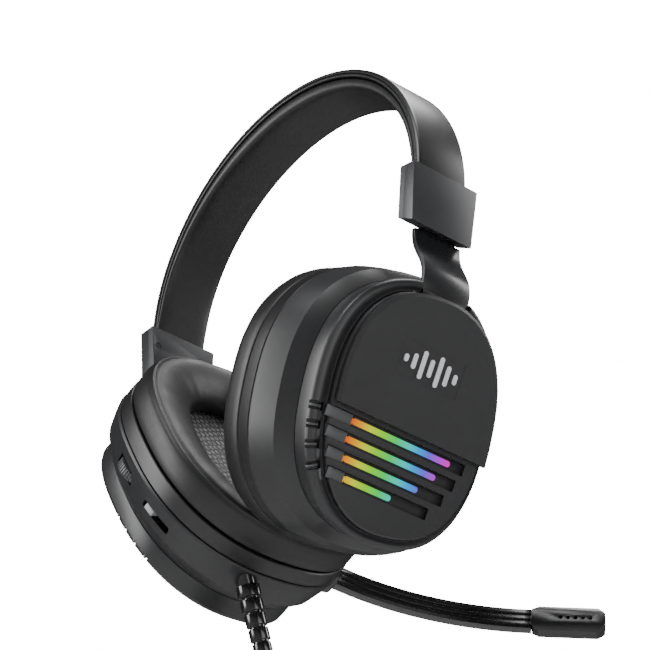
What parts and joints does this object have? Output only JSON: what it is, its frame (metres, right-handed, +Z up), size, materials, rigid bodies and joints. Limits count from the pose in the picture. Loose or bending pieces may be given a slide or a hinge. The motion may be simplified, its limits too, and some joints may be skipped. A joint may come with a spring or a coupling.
{
  "type": "gaming headset",
  "caption": "Over-ear headset: padded arched headband, sliding yokes, tilting oval ear cups with glowing light bars, swinging boom microphone, wheel, switch and USB lead.",
  "frame": {"origin": "middle of the headband pad's underside, where it rests on the head", "axes": "+Z up, -Y forwards (the way the wearer faces), +X the wearer's left, the side with the microphone"},
  "size_m": [0.1762, 0.2069, 0.3385],
  "materials": {
    "cover_plastic": "satin, near-black moulding",
    "band_leatherette": "soft leatherette skin over foam",
    "spring_steel": "bare spring steel",
    "screw_steel": "dark plated screws",
    "cap_plastic": "satin gunmetal moulding",
    "cap_inner_plastic": "satin dark grey moulding",
    "yoke_plastic": "satin dark grey strip",
    "pin_steel": "ground pins",
    "cushion_leatherette": "soft leatherette with a fine grain and sewn seams",
    "speaker_mesh": "open honeycomb mesh cloth",
    "mount_plastic": "fine matte",
    "inner_plastic": "moulded, unseen inside the cup",
    "magnet": "plated magnet pot",
    "cone_film": "thin film",
    "housing_plastic": "satin, near-black moulding",
    "ring_plastic": "satin dark grey moulding",
    "face_plastic": "satin, with four channels",
    "plate_plastic": "satin dark grey plate",
    "light_bars": "translucent, lit from behind in a run of colours",
    "circuit_board": "green solder mask",
    "badge": "pale grey",
    "wheel_plastic": "ribbed edge",
    "switch_plastic": "light grey",
    "boom_rubber": "glossy, with lengthwise ridges",
    "mic_plastic": "satin",
    "capsule": "drawn can",
    "relief_rubber": "glossy, ribbed",
    "lead_sleeve": "smooth sleeve",
    "tie_fabric": "hook-and-loop strip",
    "plug_plastic": "satin grip",
    "plug_steel": "plated shell"
  },
  "bodies": {
    "headband": {"headband_cover": "cover_plastic", "headband_pad": "band_leatherette", "spring_band": "spring_steel", "cap_screws": "screw_steel", "detent_springs": "spring_steel", "cap_outer_right": "cap_plastic", "cap_outer_left": "cap_plastic", "cap_inner_right": "cap_inner_plastic", "cap_inner_left": "cap_inner_plastic"},
    "slider_right": {"yoke_right": "yoke_plastic"},
    "slider_left": {"yoke_left": "yoke_plastic"},
    "cup_right": {"yoke_pin_right": "pin_steel", "ear_cushion_right": "cushion_leatherette", "speaker_cloth_right": "speaker_mesh", "mount_ring_right": "mount_plastic", "baffle_right": "inner_plastic", "driver_frame_right": "inner_plastic", "driver_magnet_right": "magnet", "driver_cone_right": "cone_film", "housing_right": "housing_plastic", "outer_ring_right": "ring_plastic", "face_plate_right": "face_plastic", "cover_plate_right": "plate_plastic", "light_bars_right": "light_bars", "light_board_right": "circuit_board", "wave_badge_right": "badge", "cup_screws_right": "screw_steel"},
    "cup_left": {"yoke_pin_left": "pin_steel", "ear_cushion_left": "cushion_leatherette", "speaker_cloth_left": "speaker_mesh", "mount_ring_left": "mount_plastic", "baffle_left": "inner_plastic", "driver_frame_left": "inner_plastic", "driver_magnet_left": "magnet", "driver_cone_left": "cone_film", "housing_left": "housing_plastic", "outer_ring_left": "ring_plastic", "face_plate_left": "face_plastic", "cover_plate_left": "plate_plastic", "light_bars_left": "light_bars", "light_board_left": "circuit_board", "wave_badge_left": "badge", "cup_screws_left": "screw_steel", "control_board": "circuit_board", "wheel_axle": "pin_steel", "mic_hub_pin": "pin_steel", "strain_relief": "relief_rubber", "lead": "lead_sleeve", "lead_coil": "lead_sleeve", "lead_tie": "tie_fabric", "plug_grip": "plug_plastic", "plug_shell": "plug_steel"},
    "microphone": {"mic_boom": "boom_rubber", "mic_shell": "mic_plastic", "mic_cover": "mic_plastic", "mic_capsule": "capsule"},
    "volume_wheel": {"volume_wheel": "wheel_plastic"},
    "mute_switch": {"mute_switch": "switch_plastic"}
  },
  "joints": [
    {"name": "slide_right", "type": "slide", "parent": "headband", "child": "slider_right", "axis": [0.0925, 0, -0.9957], "range_m": [0, 0.018]},
    {"name": "slide_left", "type": "slide", "parent": "headband", "child": "slider_left", "axis": [-0.0925, 0, -0.9957], "range_m": [0, 0.018]},
    {"name": "cup_tilt_right", "type": "hinge", "parent": "slider_right", "child": "cup_right", "pos_m": [-0.08207, -0.0026, -0.12659], "axis": [0, 1, 0], "range_deg": [0, 30]},
    {"name": "cup_tilt_left", "type": "hinge", "parent": "slider_left", "child": "cup_left", "pos_m": [0.08207, -0.0026, -0.12659], "axis": [0, -1, 0], "range_deg": [0, 30]},
    {"name": "mic_swing", "type": "hinge", "parent": "cup_left", "child": "microphone", "pos_m": [0.04074, -0.0486, -0.17575], "axis": [-0.8988, 0, 0.4384], "range_deg": [-20, 35]},
    {"name": "wheel_turn", "type": "hinge", "parent": "cup_left", "child": "volume_wheel", "pos_m": [0.0446, 0.042, -0.16373], "axis": [0.8988, 0, -0.4384], "range_deg": [-135, 135]},
    {"name": "mute_slide", "type": "slide", "parent": "cup_left", "child": "mute_switch", "axis": [-0.4005, -0.4067, -0.8211], "range_m": [0, 0.008]}
  ]
}
